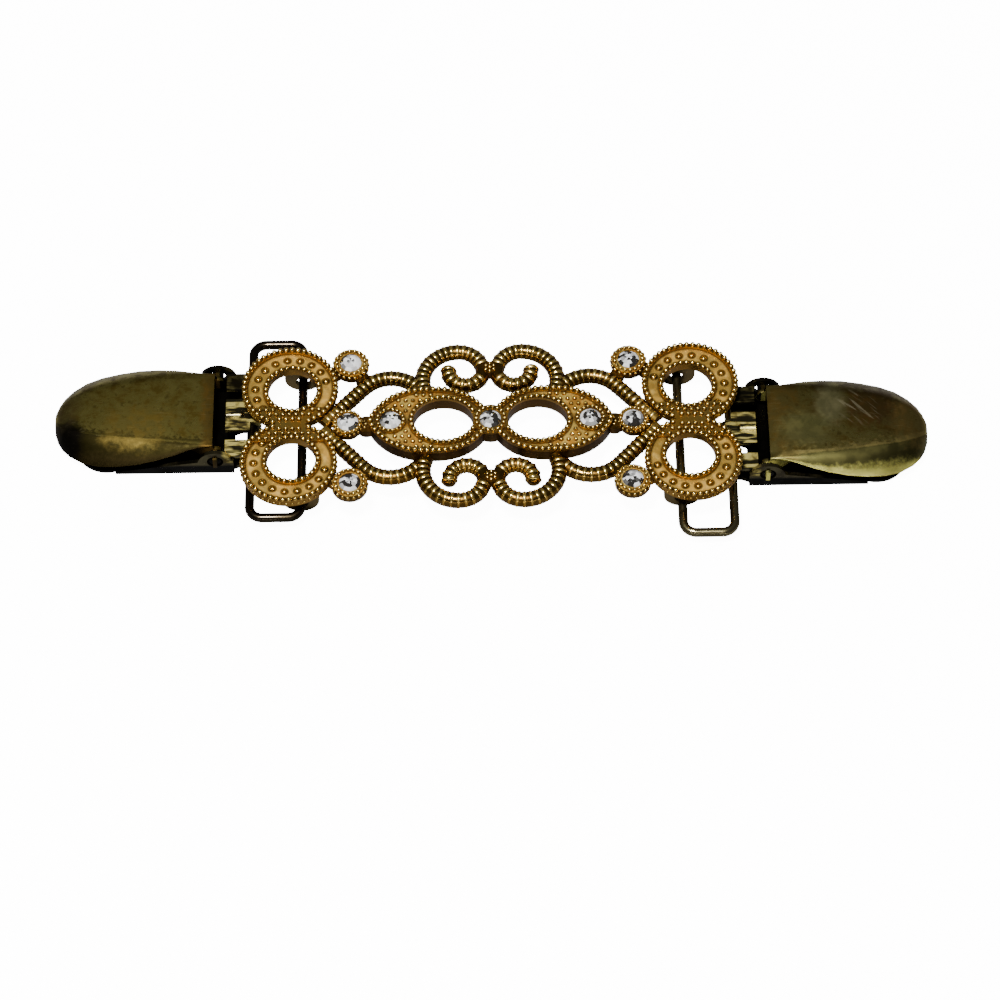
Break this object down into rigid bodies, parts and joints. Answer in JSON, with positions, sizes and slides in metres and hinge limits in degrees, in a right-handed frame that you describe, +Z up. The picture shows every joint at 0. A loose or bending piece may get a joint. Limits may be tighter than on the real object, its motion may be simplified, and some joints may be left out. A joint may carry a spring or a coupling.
{
  "type": "sweater clip",
  "caption": "Openwork casting set with round clear stones, hung on wire links between two lever clips; it joins the two fronts of a cardigan.",
  "frame": {"origin": "middle of the ornament in plan, on the surface that the sweater clip lies on", "axes": "+X along the clips towards the right clip's tip, +Z up, away from the surface"},
  "size_m": [0.1494, 0.042, 0.0085],
  "materials": {
    "gilt_casting": "antiqued gilt, dark in the recesses",
    "stone_glass": "cut and polished, foiled behind",
    "dark_bronze": "worn dark bronze plating on stamped steel",
    "grip_plastic": "cloudy translucent"
  },
  "bodies": {
    "ornament": {"ornament_panel": "gilt_casting", "stone_centre": "stone_glass", "stone_eye_left": "stone_glass", "stone_eye_right": "stone_glass", "stone_cup_left": "stone_glass", "stone_cup_right": "stone_glass", "stone_back_left": "stone_glass", "stone_back_right": "stone_glass", "stone_front_left": "stone_glass", "stone_front_right": "stone_glass"},
    "link_left": {"link_left": "dark_bronze"},
    "link_right": {"link_right": "dark_bronze"},
    "clip_left": {"clip_base_left": "dark_bronze", "grip_pad_left": "grip_plastic"},
    "clip_right": {"clip_base_right": "dark_bronze", "grip_pad_right": "grip_plastic"},
    "lever_left": {"clip_lever_left": "dark_bronze"},
    "lever_right": {"clip_lever_right": "dark_bronze"}
  },
  "joints": [
    {"name": "link_swing_left", "type": "hinge", "parent": "ornament", "child": "link_left", "pos_m": [-0.03225, 0, 0.0024], "axis": [0, 1, 0], "range_deg": [-90, 5]},
    {"name": "clip_swing_left", "type": "hinge", "parent": "link_left", "child": "clip_left", "pos_m": [-0.04095, 0.0043, 0.0024], "axis": [0, 1, 0], "range_deg": [-65, 10]},
    {"name": "lever_left", "type": "hinge", "parent": "clip_left", "child": "lever_left", "pos_m": [-0.04695, 0.0043, 0.0033], "axis": [0, 1, 0], "range_deg": [0, 65]},
    {"name": "link_swing_right", "type": "hinge", "parent": "ornament", "child": "link_right", "pos_m": [0.03225, 0, 0.0024], "axis": [0, -1, 0], "range_deg": [-90, 5]},
    {"name": "clip_swing_right", "type": "hinge", "parent": "link_right", "child": "clip_right", "pos_m": [0.04095, 0.0001, 0.0024], "axis": [0, -1, 0], "range_deg": [-65, 10]},
    {"name": "lever_right", "type": "hinge", "parent": "clip_right", "child": "lever_right", "pos_m": [0.04695, 0.0001, 0.0033], "axis": [0, -1, 0], "range_deg": [0, 65]}
  ]
}
